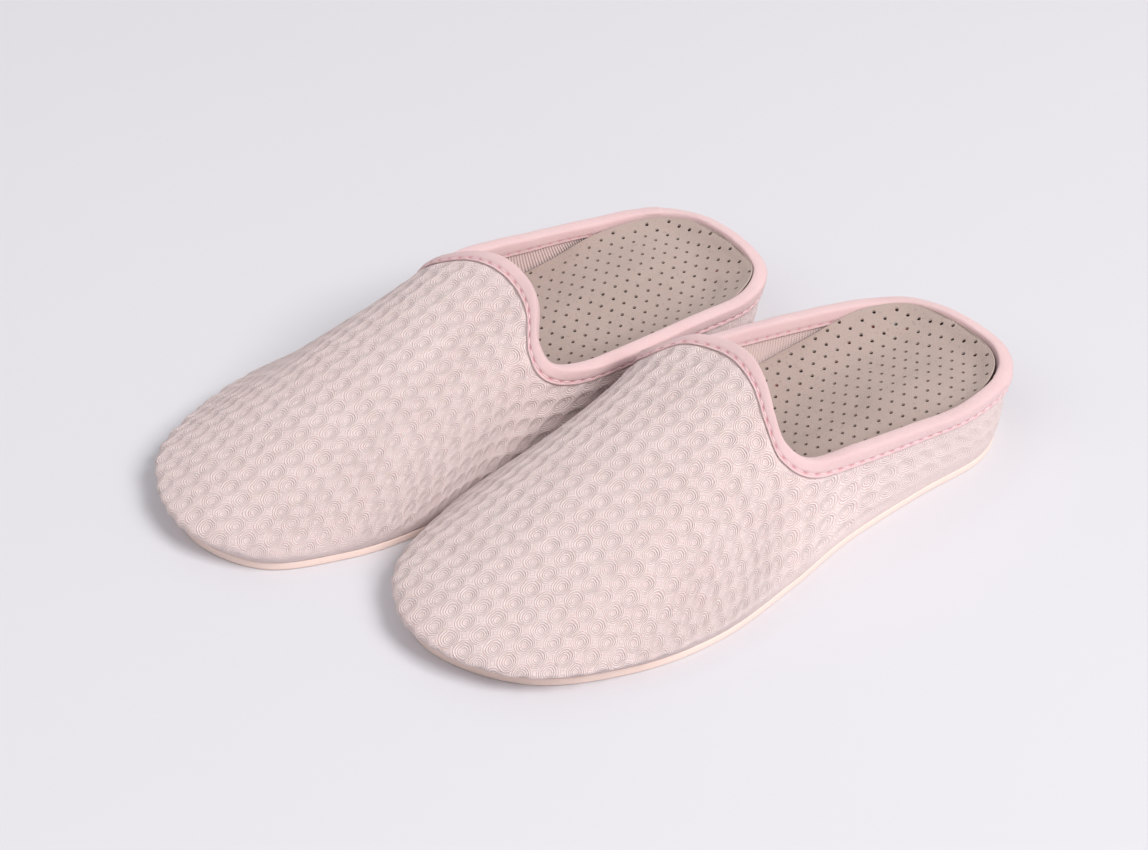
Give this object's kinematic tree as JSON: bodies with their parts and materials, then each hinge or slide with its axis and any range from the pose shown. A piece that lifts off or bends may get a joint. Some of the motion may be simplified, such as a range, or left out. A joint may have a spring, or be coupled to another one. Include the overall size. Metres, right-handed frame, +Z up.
{
  "type": "spa slippers",
  "caption": "Pair of closed-toe open-heel spa slippers: waffle upper with bound topline, ribbed lining, perforated contoured insole, covered wedge and flat outsole.",
  "frame": {"origin": "on the floor, at the middle of the pair's outline seen from above", "axes": "toes point along -Y, which lies along the slippers' length; +Z is up; the left slipper is on the +X side"},
  "size_m": [0.2332, 0.3072, 0.0665],
  "materials": {
    "outsole": "matt moulded, fine texture",
    "waffle_fabric": "pale pink waffle weave",
    "filler_felt": "pressed felt",
    "midsole_foam": "closed-cell foam",
    "fibre_board": "pressed cellulose board",
    "footbed_foam": "open-cell foam",
    "insole_fabric": "greige sock fabric with small punched dots",
    "interlining": "thin foam-backed interlining",
    "stiffener": "impregnated non-woven",
    "lining_fabric": "fine ribbed knit",
    "binding_tape": "smooth bias tape",
    "thread": "polyester sewing thread"
  },
  "bodies": {
    "left_slipper": {"left_outsole": "outsole", "left_upper_outer": "waffle_fabric", "left_bottom_filler": "filler_felt", "left_midsole": "midsole_foam", "left_insole_board": "fibre_board", "left_footbed": "footbed_foam", "left_insole_cover": "insole_fabric", "left_upper_foam": "interlining", "left_toe_stiffener": "stiffener", "left_upper_lining": "lining_fabric", "left_topline_binding": "binding_tape", "left_binding_thread": "thread"},
    "right_slipper": {"right_outsole": "outsole", "right_upper_outer": "waffle_fabric", "right_bottom_filler": "filler_felt", "right_midsole": "midsole_foam", "right_insole_board": "fibre_board", "right_footbed": "footbed_foam", "right_insole_cover": "insole_fabric", "right_upper_foam": "interlining", "right_toe_stiffener": "stiffener", "right_upper_lining": "lining_fabric", "right_topline_binding": "binding_tape", "right_binding_thread": "thread"}
  },
  "joints": [
    {"name": "right_slipper_lift", "type": "slide", "parent": "left_slipper", "child": "right_slipper", "axis": [0, 0, 1], "range_m": [0, 0.15]}
  ]
}
